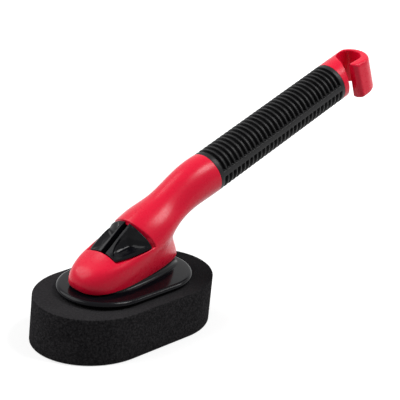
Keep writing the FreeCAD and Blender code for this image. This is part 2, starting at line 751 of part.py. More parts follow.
os.makedirs("parts", exist_ok=True)
for part in subParts:
    part.Shape.exportStep("parts/%s.step" % part.Label)
    print("%-16s %d solid(s) %9.1f mm3" % (part.Label, len(part.Shape.Solids), part.Shape.Volume))
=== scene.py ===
import math
import bmesh
import bpy
import numpy as np
from mathutils import Matrix


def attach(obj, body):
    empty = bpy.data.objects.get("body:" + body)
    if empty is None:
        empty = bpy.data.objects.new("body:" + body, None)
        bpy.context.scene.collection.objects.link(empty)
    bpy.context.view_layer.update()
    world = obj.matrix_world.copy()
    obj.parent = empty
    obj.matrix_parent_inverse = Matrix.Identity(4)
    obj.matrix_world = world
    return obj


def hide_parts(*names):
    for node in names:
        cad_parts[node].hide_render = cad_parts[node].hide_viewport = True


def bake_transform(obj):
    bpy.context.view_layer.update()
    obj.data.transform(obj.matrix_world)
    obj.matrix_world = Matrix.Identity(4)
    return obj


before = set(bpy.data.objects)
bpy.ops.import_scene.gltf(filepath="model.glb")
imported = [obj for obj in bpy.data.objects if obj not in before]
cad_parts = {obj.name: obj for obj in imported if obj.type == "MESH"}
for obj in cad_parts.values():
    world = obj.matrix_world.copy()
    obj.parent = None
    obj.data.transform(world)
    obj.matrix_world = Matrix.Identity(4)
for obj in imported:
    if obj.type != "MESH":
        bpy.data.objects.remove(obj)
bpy.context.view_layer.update()        # the imported pieces brought up to date
print("frame loaded")


def ease(low, high, value):
    # smooth step: 3w^2 - 2w^3, where w is how far value has gone from low to high
    w = np.clip((value - low) / (high - low), 0, 1)
    return w * w * (3 - 2 * w)


def unit(vectors):
    # each vector over its own length
    return vectors / np.maximum(np.linalg.norm(vectors, axis=-1, keepdims=True), 1e-12)


def level(outline, z):
    # a flat outline's points lifted to height z, or each to its own
    return np.column_stack([outline, np.broadcast_to(z, len(outline))])


def splineThrough(values):
    # cubic pieces through values one apart, whose slopes m solve m[k-1] + 4 m[k] + m[k+1] =
    # 3 (v[k+1] - v[k-1]); each end's slope is that of the cubic through its nearest four values
    values = np.asarray(values, float)
    count = len(values)
    inner = np.arange(1, count - 1)
    system = np.eye(count)
    system[inner, inner - 1], system[inner, inner], system[inner, inner + 1] = 1, 4, 1
    right = np.empty_like(values)
    right[inner] = 3 * (values[2:] - values[:-2])
    weights = np.array([-11, 18, -9, 2]) / 6
    right[0], right[-1] = weights @ values[:4], -weights @ values[::-1][:4]
    slopes = np.linalg.solve(system, right)

    def curve(t):
        t = np.clip(np.asarray(t, float), 0, count - 1)
        k = np.minimum(t.astype(int), count - 2)
        w = (t - k)[..., None]
        return ((1 + 2 * w) * (1 - w) ** 2 * values[k] + w * (1 - w) ** 2 * slopes[k]
                + w * w * (3 - 2 * w) * values[k + 1] + w * w * (w - 1) * slopes[k + 1])
    return curve


def crossing(side, place, low, high):
    # where side(place(value)) turns from positive at low to negative at high, by halving
    low, high = np.broadcast_arrays(np.asarray(low, float), np.asarray(high, float))
    low, high = low.copy(), high.copy()
    for _ in range(44):
        middle = (low + high) / 2
        inside = side(place(middle)) > 0
        low, high = np.where(inside, middle, low), np.where(inside, high, middle)
    return (low + high) / 2


def newObject(name, data):
    # an object in the scene
    made = bpy.data.objects.new(name, data)
    bpy.context.scene.collection.objects.link(made)
    return made


class Skin:
    # patches of points in millimetres, joined to one mesh
    def __init__(self):
        self.points, self.faces, self.count = [], [], 0

    def patch(self, points, closed=False, keep=None):
        # a grid of points: each square of neighbours is a face; closed joins the last column
        # to the first, and keep leaves out the squares where it is false
        rows, columns = points.shape[:2]
        index = np.arange(rows * columns).reshape(rows, columns) + self.count
        if closed:
            index = np.concatenate([index, index[:, :1]], axis=1)
        quads = np.stack([index[:-1, :-1], index[1:, :-1], index[1:, 1:], index[:-1, 1:]], -1)
        quads = quads.reshape(-1, 4) if keep is None else quads[keep]
        self.points.append(points.reshape(-1, 3))
        self.faces.append(quads)
        self.count += rows * columns
        return self

    def tube(self, rows):
        # closed rows joined in turn, with each end drawn in to its own middle
        rows = np.asarray(rows, float)
        first, last = [np.broadcast_to(rows[k].mean(0), rows[k].shape)[None] for k in (0, -1)]
        return self.patch(np.concatenate([first, rows, last]), closed=True)

    def piece(self, name, body, replaces, slotName, material, crease, weld=1e-6):
        # one object from all the patches: points nearer than weld metres are merged, faces are
        # turned outwards, and edges bent by more than crease degrees stay sharp
        mesh = bpy.data.meshes.new(name)
        mesh.from_pydata((np.concatenate(self.points) / 1000).tolist(), [],
                         np.concatenate(self.faces).tolist())
        work = bmesh.new()
        work.from_mesh(mesh)
        bmesh.ops.remove_doubles(work, verts=work.verts, dist=weld)
        bmesh.ops.dissolve_degenerate(work, edges=work.edges, dist=weld)
        bmesh.ops.recalc_face_normals(work, faces=work.faces)
        work.to_mesh(mesh)
        work.free()
        mesh.polygons.foreach_set("use_smooth", np.ones(len(mesh.polygons), bool))
        mesh.set_sharp_from_angle(angle=math.radians(crease))
        made = newObject(name, mesh)
        mesh.materials.append(material)
        if body:
            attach(made, body)
        if replaces:
            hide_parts(*replaces)
        return made


def quarterEdge(edge, steps):
    # a rounded edge as pairs: drawn in by edge (1 - cos a) where edge (1 - sin a) short of the end
    bend = np.linspace(0, math.pi / 2, steps)
    return [(edge * (1 - math.cos(b)), edge * (1 - math.sin(b))) for b in bend]


def roundedBlock(skin, low, high, edge):
    # a block between two corners with every edge round: a rounded rectangle carried upwards,
    # and drawn in towards its middle at both ends
    low, high = np.asarray(low, float), np.asarray(high, float)
    turns = np.linspace(0, math.pi / 2, 4)
    corners = [(high[0], high[1]), (low[0], high[1]), (low[0], low[1]), (high[0], low[1])]
    parts = []
    for quarter, corner in enumerate(corners):
        turn = turns + quarter * math.pi / 2
        centre = np.array(corner) - edge * np.sign(np.array(corner) - (low[:2] + high[:2]) / 2)
        parts.append(centre + edge * np.column_stack([np.cos(turn), np.sin(turn)]))
    outline = np.concatenate(parts)
    middle = outline.mean(0)
    reach = np.linalg.norm(outline - middle, axis=1, keepdims=True)
    rows = []
    for height, way in ((low[2], -1), (high[2], 1)):
        for drawn, short in quarterEdge(edge, len(turns))[::way]:
            rows.append(level(middle + (outline - middle) * (1 - drawn / reach), height - way * short))
    return skin.tube(rows)


def ringRows(centre, axis, side, stations, radii, count):
    # circles about an axis: centre + axis * station + radius (side cos + other sin)
    axis, side = np.asarray(axis, float), np.asarray(side, float)
    other = np.cross(axis, side)
    turn = np.linspace(0, 2 * math.pi, count, endpoint=False)[None, :, None]
    stations, radii = np.asarray(stations, float), np.asarray(radii, float)
    return (np.asarray(centre, float) + axis * stations[:, None, None]
            + radii[:, None, None] * (side * np.cos(turn) + other * np.sin(turn)))


class Wire:
    # a shader socket that takes plain arithmetic
    def __init__(self, shader, socket):
        self.shader, self.socket = shader, socket

    def maths(self, kind, first, second):
        return self.shader.add("ShaderNodeMath", {"operation": kind}, {0: first, 1: second})

    def __add__(self, other):
        return self.maths("ADD", self, other)

    def __sub__(self, other):
        return self.maths("SUBTRACT", self, other)

    def __rsub__(self, other):
        return self.maths("SUBTRACT", other, self)

    def __mul__(self, other):
        return self.maths("MULTIPLY", self, other)

    __radd__, __rmul__ = __add__, __mul__


class Shader:
    # the nodes of one material or world; a finish gives it a Principled shader
    def __init__(self, owner, finish=None):
        owner.use_nodes = True
        self.tree = owner.node_tree
        self.tree.nodes.clear()
        self.place = self.add("ShaderNodeTexCoord", {}, {}, "Object")
        if finish:
            self.surface = self.add("ShaderNodeBsdfPrincipled", {}, finish).socket.node
            self.add("ShaderNodeOutputMaterial", {}, {"Surface": Wire(self, self.surface.outputs[0])})

    def add(self, kind, settings, values, output=0):
        # settings first, a ramp's stops among them, then the values or links of the sockets
        node = self.tree.nodes.new(kind)
        for name, value in settings.items():
            if name == "stops":
                for stop, position in zip(node.color_ramp.elements, value):
                    stop.position = position
            else:
                setattr(node, name, value)
        for name, value in values.items():
            if isinstance(value, Wire):
                self.tree.links.new(value.socket, node.inputs[name])
            else:
                node.inputs[name].default_value = value
        return Wire(self, node.outputs[output]) if node.outputs else None

    def noise(self, scale, detail=2.0, rough=0.5):
        return self.add("ShaderNodeTexNoise", {}, {"Vector": self.place, "Scale": scale,
                                                   "Detail": detail, "Roughness": rough})

    def cells(self, scale):
        return self.add("ShaderNodeTexVoronoi", {}, {"Vector": self.place, "Scale": scale})

    def ramp(self, value, low, high):
        # black up to low, white from high, and greys between
        return self.add("ShaderNodeValToRGB", {"stops": (low, high)}, {"Fac": value})

    def mix(self, factor, first, second):
        # a colour between two
        return self.add("ShaderNodeMix", {"data_type": "RGBA"},
                        {0: factor, 6: (*first, 1), 7: (*second, 1)}, 2)

    def link(self, inputs):
        # wires into the surface's sockets, by their names
        for name, value in inputs.items():
            self.tree.links.new(value.socket, self.surface.inputs[name])

    def bump(self, height, distance, strength=1.0):
        # relief in metres
        self.link({"Normal": self.add("ShaderNodeBump", {}, {"Height": height, "Distance": distance,
                                                             "Strength": strength})})


def newMaterial(name, finish=None):
    # an empty material and its shader
    made = bpy.data.materials.new(name)
    return made, Shader(made, finish)


def glossyPlastic(name, light, dark, finish, texture=0.00002):
    # moulded plastic: two near colours in broad clouds, fine pores, and faint rub marks that
    # change the roughness
    made, shade = newMaterial(name, finish)
    clouds = shade.ramp(shade.noise(24, 3), 0.35, 0.7)
    grain = shade.noise(1900, 2)
    rubs = shade.ramp(shade.noise(260, 6, 0.7), 0.4, 0.75)
    shade.link({"Base Color": shade.mix(clouds * 0.6 + grain * 0.25, dark, light),
                "Roughness": rubs * 0.07 + grain * 0.05 + finish["Roughness"] - 0.06})
    shade.bump(grain + rubs * 0.4, texture)
    return made


def rubberMaterial(name):
    # soft moulded rubber: near-black with a dusty bloom and a pebbled touch
    made, shade = newMaterial(name, {"Roughness": 0.5, "Specular IOR Level": 0.2})
    pebble = shade.cells(1500)
    bloom = shade.ramp(shade.noise(70, 5, 0.65), 0.3, 0.8)
    shade.link({"Base Color": shade.mix(bloom * 0.7 + pebble * 0.3, (0.002, 0.002, 0.0023),
                                        (0.0055, 0.0052, 0.006)),
                "Roughness": bloom * 0.14 + pebble * 0.12 + 0.3})
    shade.bump(pebble, 0.00005, 0.7)
    return made


def foamMaterial(name):
    # cut closed-cell foam: pale flecks and dark pores at the size of single cells, over loose
    # clouds, stronger where the blade went down the sides than on the skinned top, which has a
    # painted light from above and is paler towards the toe, with painted shade towards the heel
    made, shade = newMaterial(name, {"Roughness": 1.0, "Specular IOR Level": 0.02})
    pores = shade.ramp(shade.cells(900), 0.15, 0.6)
    flecks = shade.ramp(shade.noise(640, 3, 0.7), 0.44, 0.62)
    clouds = shade.noise(55, 4, 0.6)
    facing = shade.add("ShaderNodeNewGeometry", {}, {}, "Normal")
    upward = shade.add("ShaderNodeVectorMath", {"operation": "DOT_PRODUCT"},
                       {0: facing, 1: (0, 0, 1)}, "Value")
    # faces that point up: the skin's finer texture, and a painted light from above
    topSkinAndPaintedLight = shade.ramp(upward, 0.5, 0.9)
    cut = (pores * 0.35 + flecks * 0.65) * (0.75 - topSkinAndPaintedLight * 0.45)
    # painted shade over the top towards the heel, where the handle's shadow falls
    along = shade.add("ShaderNodeSeparateXYZ", {}, {0: shade.place}, "X")
    heel = shade.ramp(along * 10 + 0.3, 0.45, 0.85)
    # the painted light on the top, dimmed by the painted shade towards the heel
    toneAndPaintedLight = (cut + clouds * 0.25) * (1 - topSkinAndPaintedLight * heel * 0.5) + topSkinAndPaintedLight * (0.32 - heel * 0.27)
    shade.link({"Base Color": shade.mix(toneAndPaintedLight, (0.0022, 0.0021, 0.0026),
                                        (0.0358, 0.0343, 0.0362))})
    shade.bump(pores * 0.8 + flecks * 0.7, 0.0003, 0.8)
    return made


def metalMaterial(name, colour, rough, scale):
    # drawn metal: fine drift in colour and roughness
    made, shade = newMaterial(name, {"Metallic": 1.0, "Roughness": rough})
    drift = shade.noise(scale, 5, 0.6)
    shade.link({"Base Color": shade.mix(drift, tuple(0.8 * c for c in colour), colour),
                "Roughness": drift * 0.2 + rough - 0.1})
    shade.bump(drift, 0.00001)
    return made


redPlastic = glossyPlastic("redPlastic", (0.645, 0.0045, 0.031), (0.6, 0.003, 0.026),
                           {"Roughness": 0.3, "Specular IOR Level": 0.18})
blackPlastic = glossyPlastic("blackPlastic", (0.0045, 0.0045, 0.006), (0.0025, 0.0025, 0.0038),
                             {"Roughness": 0.16, "Specular IOR Level": 0.095})
gripRubber = rubberMaterial("gripRubber")
blackFoam = foamMaterial("blackFoam")
tubeAluminium = metalMaterial("tubeAluminium", (0.72, 0.72, 0.74), 0.35, 400)
screwSteel = metalMaterial("screwSteel", (0.5, 0.5, 0.52), 0.3, 900)
glueFilm = glossyPlastic("glueFilm", (0.2, 0.18, 0.12), (0.16, 0.14, 0.09),
                         {"Roughness": 0.45, "Specular IOR Level": 0.4}, 0.00004)
print("materials made")

headShape = {
    # top line x and z, heel line x and z, half width, squareness, from the mouth to the grip
    "sections": [(-46.1, 41.0, 48.0, 46.5, 17.8, 2.6), (-47.4, 48.4, 43.3, 55.7, 20.3, 2.35),
                 (-41.0, 56.4, 39.5, 63.5, 21.3, 2.15), (-24.8, 64.0, 39.4, 70.5, 21.3, 2.0),
                 (-2.5, 81.6, 46.2, 75.0, 19.0, 1.8), (22.0, 92.6, 56.0, 79.0, 15.6, 1.88),
                 (45.0, 106.0, 67.5, 82.2, 15.1, 2.0)],
    "mouthEgg": 0.35,
    "wall": 2.4,
    "cavityEnd": 4.8,
    "socketRadius": 12.6,
    "socketDepth": 24.0,
    "lip": 0.8,          # radius of the window's rolled edge
    "mouthEdge": 0.6,
    "mouthStep": 11,     # length of a section at the mouth, at its longest
    # screw bosses: place, radius, how far they stand below the tabs' plane, cover left above
    "bossX": 12.0, "bossY": 8.0, "bossRadius": 3.4, "bossFoot": 1.8, "bossEdge": 0.2,
    "bossCover": 3.6,
}
handleShape = {"startX": 74.7, "startZ": 100.7, "angle": 18.6, "radius": 15.6, "length": 141.9}
windowShape = {"frontX": -24.8, "floorZ": 61.0, "floorAngle": 13.0, "backX": -2.3, "backRadius": 33.0}

# the head's mesh: columns across the window and on round the heel on each side, and rows from
# the mouth, along the window and on to the grip; heelSpread sets the columns apart
gridShape = {"topColumns": 73, "heelColumns": 37, "heelSpread": 0.9,
             "mouthRows": 46, "windowRows": 37, "neckRows": 120}

lean = math.radians(handleShape["angle"])
handleAxis = np.array([math.cos(lean), 0, math.sin(lean)])
handleUp = np.array([-math.sin(lean), 0, math.cos(lean)])
sideways = np.array([0.0, 1.0, 0.0])
handleStart = np.array([handleShape["startX"], 0, handleShape["startZ"]])
gripEnds = [handleStart + handleUp * handleShape["radius"] * way for way in (1, -1)]
headCurve = splineThrough(headShape["sections"] + [(gripEnds[0][0], gripEnds[0][2], gripEnds[1][0],
                                                    gripEnds[1][2], handleShape["radius"], 2.0)])
lastSection = len(headShape["sections"])


def headPoint(t, turn, inset=0.0):
    # superellipse in the plane through the top line's and the heel line's points at t:
    # middle + reach |cos|^(2/q) along it, half width |sin|^(2/q) across, wider at the toe
    t, turn = np.broadcast_arrays(np.asarray(t, float), np.asarray(turn, float))
    row = headCurve(t)
    slope = headCurve(t + 1e-4) - headCurve(t - 1e-4)
    across = unit(row[..., 0:2] - row[..., 2:4])

    def shift(way):
        way = unit(way)
        return inset / np.abs(across[..., :1] * way[..., 1:] - across[..., 1:] * way[..., :1])

    top = row[..., 0:2] - across * shift(slope[..., 0:2])
    heel = row[..., 2:4] + across * shift(slope[..., 2:4])
    power = 2 / row[..., 5]
    along = np.sign(np.cos(turn)) * np.abs(np.cos(turn)) ** power
    side = np.sign(np.sin(turn)) * np.abs(np.sin(turn)) ** power
    flat = (top + heel) / 2 + (top - heel) / 2 * along[..., None]
    y = (row[..., 4] - inset) * side * (1 + headShape["mouthEgg"] * 0.4 ** t * along)
    return np.stack([flat[..., 0], y, flat[..., 1]], -1)


def headNormal(t, turn, inset=0.0):
    # outward normal: how the surface moves with t, crossed with how it moves with the turn
    step = 2e-3
    up = headPoint(t + step, turn, inset) - headPoint(t - step, turn, inset)
    around = headPoint(t, turn + step, inset) - headPoint(t, turn - step, inset)
    return unit(np.cross(up, around))


def floorHeight(x):
    # the plane that the tabs slide along
    return (windowShape["floorZ"]
            + (x - windowShape["frontX"]) * math.tan(math.radians(windowShape["floorAngle"])))


def backGap(p, trim):
    # how far a point lies in front of the window's back arc: distance from its centre, less its
    # radius; the lesser of that and the same for the point moved by trim towards the middle
    radius = windowShape["backRadius"]
    x, y = p[..., 0] - (windowShape["backX"] + radius), np.abs(p[..., 1])
    return np.minimum(np.hypot(x, y), np.hypot(x, np.maximum(y - trim, 0))) - radius


class WindowMap:
    # the window's outline, grown by grow, in the head's own two parameters: front edge and back
    # edge as sections by turn, side edge as turn by section
    def __init__(self, grow, inset=0.0, trim=0.0):
        self.inset = inset
        self.front = lambda p: windowShape["frontX"] - grow - p[..., 0]
        self.floor = lambda p: p[..., 2] - floorHeight(p[..., 0]) + grow
        self.back = lambda p: backGap(p, trim) + grow
        self.frontCorner, self.backCorner = self.corner(self.frontAt), self.corner(self.backAt)

    def corner(self, edge):
        # section and turn where the front or back edge meets the side edge
        turn = crossing(self.floor, lambda turn: headPoint(edge(turn), turn, self.inset), 0.1, 2.0)
        return float(edge(turn)), float(turn)

    def sectionAt(self, limit, turn, low, high):
        # section between low and high where limit changes sign, at each turn
        return crossing(limit, lambda t: headPoint(t, turn, self.inset), low + 0 * turn, high + 0 * turn)

    def turnAt(self, limit, t, low, high):
        # turn between low and high where limit changes sign, at each section
        return crossing(limit, lambda turn: headPoint(t, turn, self.inset), low + 0 * t, high + 0 * t)

    def frontAt(self, turn):
        return self.sectionAt(self.front, turn, 1.0, 4.0)

    def backAt(self, turn):
        return self.sectionAt(self.back, turn, 2.2, 5.2)

    def sideLine(self, share):
        # turns along the side edge, where share is 0 at the front corner and 1 at the back one
        (frontT, frontTurn), (backT, backTurn) = self.frontCorner, self.backCorner
        turn = self.turnAt(self.floor, frontT + (backT - frontT) * share, 0.02, 2.4)
        turn[0], turn[-1] = frontTurn, backTurn
        return turn

    def half(self, rows, inner, marks=()):
        # sections and turns over the window's +Y half: u runs from front to back and v from the
        # line y = inner to the side edge, with a column along each mark's line on the way
        u = np.linspace(0, 1, rows)
        sideTurn = self.sideLine(u)
        front, back = self.frontAt(np.array(0.1)), self.backAt(np.array(0.1))
        middleT = front + (back - front) * u
        firstTurn = self.turnAt(lambda p: inner - p[..., 1], middleT, 0.0, 2.0)
        lines = [firstTurn]
        for mark, _ in marks:
            turn = self.turnAt(lambda p: mark(p) - p[..., 1], middleT, 0.0, 2.0)
            lines.append(np.clip(turn, firstTurn + 0.02, sideTurn - 0.05))
        lines.append(sideTurn)
        counts = [count for _, count in marks] + [60]
        parts = [low[:, None] + (high - low)[:, None] * np.linspace(0, 1, count, endpoint=False)
                 for low, high, count in zip(lines, lines[1:], counts)]
        turn = np.concatenate(parts + [sideTurn[:, None]], 1)
        w = u[:, None]
        return (1 - w) * self.frontAt(turn[0]) + w * self.backAt(turn[-1]), turn


def headGrid(window, endSection, mouthSection):
    # sections and turns of the whole head, as rows from the mouth to endSection whose lines
    # follow the window's front and back edges, and columns that follow its two side edges
    inner = np.linspace(-1, 1, gridShape["topColumns"])
    outer = np.linspace(0, 1, gridShape["heelColumns"]) ** gridShape["heelSpread"]
    frontT, frontTurn = window.frontCorner
    backT, backTurn = window.backCorner
    share = np.linspace(0, 1, gridShape["windowRows"])
    sideTurn = window.sideLine(share)
    edgeFront, edgeBack = window.frontAt(inner * frontTurn), window.backAt(inner * backTurn)
    edgeFront[[0, -1]], edgeBack[[0, -1]] = frontT, backT
    below = np.linspace(0, 1, gridShape["mouthRows"])[:-1, None]
    above = np.linspace(0, 1, gridShape["neckRows"])[1:, None]
    w = share[:, None]
    innerT = np.concatenate([mouthSection + (edgeFront - mouthSection) * below,
                             edgeFront * (1 - w) + edgeBack * w,
                             edgeBack + (endSection - edgeBack) * above])
    reach = np.concatenate([np.full(len(below), frontTurn), sideTurn,
                            np.full(len(above), backTurn)])[:, None]
    outerT = innerT[:, -1:]
    right = reach + (math.pi - reach) * outer[1:]
    turn = np.concatenate([reach * inner, right, -right[:, -2::-1]], axis=1)
    t = np.concatenate([innerT, np.repeat(outerT, turn.shape[1] - len(inner), axis=1)], axis=1)
    rows = (len(below), len(below) + len(share) - 1)
    keep = np.ones((t.shape[0] - 1, t.shape[1]), bool)
    keep[rows[0]:rows[1], :len(inner) - 1] = False
    loop = [(rows[0], j) for j in range(len(inner))]
    loop += [(i, len(inner) - 1) for i in range(rows[0] + 1, rows[1] + 1)]
    loop += [(rows[1], j) for j in range(len(inner) - 2, -1, -1)]
    loop += [(i, 0) for i in range(rows[1] - 1, rows[0], -1)]
    return t, turn, keep, tuple(np.array(loop).T)


def makeHeadShell():
    # two skins a wall apart that share a rolled rim round the window and a rim at the mouth;
    # the outer one ends in the flat ring and bore that take the handle's tube
    skin = Skin()
    window = WindowMap(headShape["lip"])
    wall, edge = headShape["wall"], headShape["mouthEdge"]
    rimStart = edge / headShape["mouthStep"]
    t, turn, keep, loop = headGrid(window, lastSection, rimStart)
    outside = headPoint(t, turn)
    skin.patch(outside, closed=True, keep=keep)
    innerT, innerTurn, innerKeep, innerLoop = headGrid(WindowMap(0.0, wall), headShape["cavityEnd"], 0.0)
    inside = headPoint(innerT, innerTurn, wall)
    skin.patch(inside, closed=True, keep=innerKeep)
    skin.patch(np.stack([inside[-1], np.broadcast_to(inside[-1].mean(0), inside[-1].shape)]), closed=True)
    # window rim: quarter circle into the window, then straight to the inner skin's own edge
    rim, normal = outside[loop], headNormal(t[loop], turn[loop])
    along = unit(np.roll(rim, -1, 0) - np.roll(rim, 1, 0))
    into = unit(np.cross(normal, along))
    into = into * np.sign(((rim.mean(0) - rim) * into).sum(-1).mean())
    bend = np.linspace(0, math.pi / 2, 7)[:, None, None]
    lip = headShape["lip"]
    rolled = rim + into * lip * np.sin(bend) - normal * lip * (1 - np.cos(bend))
    skin.patch(np.concatenate([rolled, inside[innerLoop][None]]), closed=True)
    # mouth rim
    start, base = outside[0], headPoint(0 * t[0], turn[0])
    outward = headNormal(t[0], turn[0])
    rolled = start + (base - start) * np.sin(bend) - outward * edge * (1 - np.cos(bend))
    skin.patch(np.concatenate([rolled, inside[:1]]), closed=True)
    # flat ring and bore at the handle's end
    end = outside[-1]
    spoke = unit(end - handleStart)
    bore = handleStart + spoke * headShape["socketRadius"]
    bottom = bore - handleAxis * headShape["socketDepth"]
    middle = np.broadcast_to(bottom.mean(0), bottom.shape)
    skin.patch(np.stack([end, bore, bottom, middle]), closed=True)
    # screw bosses square to the tabs' plane, up to just under the outer skin
    floorLean = math.radians(windowShape["floorAngle"])
    floorUp = np.array([-math.sin(floorLean), 0, math.cos(floorLean)])
    bossX, bossRadius, bossEdge = headShape["bossX"], headShape["bossRadius"], headShape["bossEdge"]
    for side in (1, -1):
        foot = np.array([bossX, headShape["bossY"] * side, floorHeight(bossX)])
        off = outside - foot
        rise = off @ floorUp
        below = 100 * (rise < 0)
        apart = np.linalg.norm(off - rise[..., None] * floorUp, axis=-1) + below
        reach = rise.flat[apart.argmin()] - headShape["bossCover"]
        stations = [-headShape["bossFoot"], bossEdge - headShape["bossFoot"], reach]
        radii = [bossRadius - bossEdge, bossRadius, bossRadius]
        skin.tube(ringRows(foot, floorUp, sideways, stations, radii, 32))
    return skin.piece("headShell", "handle", ["head_shell"], "red_plastic", redPlastic, crease=50)


makeHeadShell()
print("head shell made")

tabShape = {
    "gap": 0.4,          # between a tab and the window's edges
    "inset": 0.1,        # how far the tab's top lies under the head's surface
    "trim": 2.6,         # room that the back edge leaves for the tab's own travel
    "slotHalf": 2.15,
    "edge": 0.45,
    # the scoop's inner edge, as distance from the middle by x
    "railX": [-27.0, -23.6, -22.4, -20.3, -17.3, -12.8, -6.9, -3.3, 1.0],
    "railY": [15.0, 9.8, 7.6, 5.5, 4.2, 3.8, 4.2, 4.8, 5.7],
    "bowl": 0.9,         # height of the scoop's floor above the plane that the tabs slide along
    "bowlRise": 1.3,     # and how much higher it is at its outer rim
    "bowlWidth": 13.0,
    "wallReach": 5.0,    # how far the hollow wall beside the rail runs out into the floor
    "backReach": 3.6,
    "backRim": 0.9,
    # the flange kept under the window's edges: how far it reaches past them, its clearance
    # to the head's wall, and half its thickness
    "flange": 1.8, "flangeClear": 0.35, "flangeHalf": 1.5,
    "leg": ((-14, 4, 46.1), (-2, 7, 62.5)),
    "barb": ((-12.5, 4.4, 46.1), (-3.5, 9.2, 48.5)),
    "legEdge": 0.4,
    "pegCentre": (-8, 0, 55), "pegStations": (2.5, 2.7, 5.5), "pegRadii": (1.5, 1.7, 1.7),
}


def railLine(x):
    # the scoop's inner edge as a smooth line: the corners of the straight pieces rounded over
    shift = np.linspace(-1.2, 1.2, 7)
    return np.interp(np.asarray(x)[..., None] + shift, tabShape["railX"], tabShape["railY"]).mean(-1)


def scoopHeight(p):
    # height of the hollowed top: inside the rail and the back rim it is
    # floor + (surface - floor) (1 - sqrt(1 - c^2)), where c grows to 1 at those edges
    x, y, surface = p[..., 0], np.abs(p[..., 1]), p[..., 2]
    slope = (railLine(x + 0.2) - railLine(x - 0.2)) / 0.4
    fromRail = (y - railLine(x)) / np.sqrt(1 + slope ** 2)
    fromBack = backGap(p, tabShape["trim"]) - tabShape["gap"] - tabShape["backRim"]
    near = np.clip(1 - fromRail / tabShape["wallReach"], 0, 1)
    behind = np.clip(1 - fromBack / tabShape["backReach"], 0, 1)
    close = np.clip(np.hypot(near, behind), 0, 1)
    out = np.clip(fromRail / tabShape["bowlWidth"], 0, 1.2)
    base = floorHeight(x) + tabShape["bowl"] + tabShape["bowlRise"] * out ** 2
    hollow = base + (np.maximum(surface, base) - base) * (1 - np.sqrt(1 - close ** 2 * 0.9999))
    return np.where((fromRail > 0) & (fromBack > 0), np.minimum(hollow, surface), surface)


def windowBlock(skin, window, t, turn, height, low):
    # a block over part of the window: its top is the head's surface taken to the given heights,
    # and its underside lies along the slope, low above it
    top = headPoint(t, turn, window.inset)
    under = top.copy()
    under[..., 2] = floorHeight(top[..., 0]) + low
    top = height(top)
    top[..., 2] = np.maximum(top[..., 2], under[..., 2] + 0.03)
    around = lambda g: np.concatenate([g[0], g[1:, -1], g[-1, -2::-1], g[-2:0:-1, 0]])
    skin.patch(top).patch(under)
    return skin.patch(np.stack([around(top), around(under)]), closed=True)


def makeTab(side):
    # a window block whose top is the head's own surface, drawn in a little, hollowed by the
    # scoop and rounded at its edges; below it the kept flange, the leg, its barb and its peg
    skin = Skin()
    shape = tabShape
    window = WindowMap(-shape["gap"], shape["inset"], shape["trim"])
    rail = lambda p: railLine(p[..., 0])
    t, turn = window.half(150, shape["slotHalf"], [(rail, 16), (lambda p: rail(p) + 1.6, 16)])
    normal = headNormal(t, turn, shape["inset"])

    def tabTop(top):
        # each edge is rounded by edge - sqrt(edge^2 - near^2), near being edge less the distance
        edge = shape["edge"]
        drop = 0
        for distance in (top[..., 1] - shape["slotHalf"],
                         top[..., 0] - windowShape["frontX"] - shape["gap"],
                         window.back(top),
                         top[..., 2] - floorHeight(top[..., 0]) - shape["gap"]):
            near = edge - np.clip(distance, 0, edge)
            drop = drop + edge - np.sqrt(edge ** 2 - near ** 2 * 0.98)
        rounded = top - normal * drop[..., None]
        rounded[..., 2] = np.minimum(rounded[..., 2], scoopHeight(top))
        return rounded

    windowBlock(skin, window, t, turn, tabTop, shape["gap"])
    keeper = WindowMap(shape["flange"], headShape["wall"] + shape["flangeClear"])
    keptT, keptTurn = keeper.half(40, shape["slotHalf"])

    def flangeTop(top):
        top[..., 2] = np.minimum(top[..., 2], floorHeight(top[..., 0]) + shape["flangeHalf"])
        return top

    windowBlock(skin, keeper, keptT, keptTurn, flangeTop, -shape["flangeHalf"])
    for low, high in (shape["leg"], shape["barb"]):
        roundedBlock(skin, low, high, shape["legEdge"])
    skin.tube(ringRows(shape["pegCentre"], sideways, (1, 0, 0), shape["pegStations"],
                       shape["pegRadii"], 24))
    if side < 0:
        skin.points = [p * [1, -1, 1] for p in skin.points]
    name, body, node = (("tabRight", "right_tab", "tab_right") if side > 0
                        else ("tabLeft", "left_tab", "tab_left"))
    return skin.piece(name, body, [node], "black_plastic", blackPlastic, crease=40)


makeTab(1)
makeTab(-1)
print("tabs made")

padShape = {
    "length": 150.0, "width": 80.5, "straight": 55.5, "top": 34.3, "edge": 0.7,
    "rings": (4, 12, 24, 34),       # how far the rings on the flat faces are drawn in
}
plateShape = {
    "length": 111.0, "width": 64.5, "straight": 39.0,
    "bond": 34.7, "rim": 36.5, "top": 39.7, "bondInset": 4.0, "bondEdge": 0.3, "rimEdge": 0.5,
    "edge": 2.7, "flare": 2.2, "overhang": 1.4, "mouthGap": 0.4,
    # the register inside the head: height, clearance to its wall, round edge and width
    "register": 2.0, "registerClear": 0.4, "registerEdge": 0.3, "registerWidth": 8,
    # the two catches: ends along x, faces from the middle, heights
    "catchX": (-12.5, -3.5), "wallY": (9.6, 12.1), "lipY": (7.8, 12.1),
    "catchFoot": 41, "lipUnder": 48.8, "catchTop": 51.3, "catchEdge": 0.35,
}


def ovalRing(shape, inset, z=0.0, arcSteps=64, runSteps=24):
    # half ellipses joined by straight runs: (straight/2 + a cos, b sin), then a run, and so on,
    # drawn in by inset and lifted to z
    straight = shape["straight"]
    a, b = (shape["length"] - straight) / 2 - inset, shape["width"] / 2 - inset
    turn = np.linspace(-math.pi / 2, math.pi / 2, arcSteps, endpoint=False)
    run = np.linspace(straight / 2, -straight / 2, runSteps, endpoint=False)
    right = np.column_stack([straight / 2 + a * np.cos(turn), b * np.sin(turn)])
    back = np.column_stack([run, np.full(runSteps, b)])
    return level(np.concatenate([right, back, -right, -back]), z)


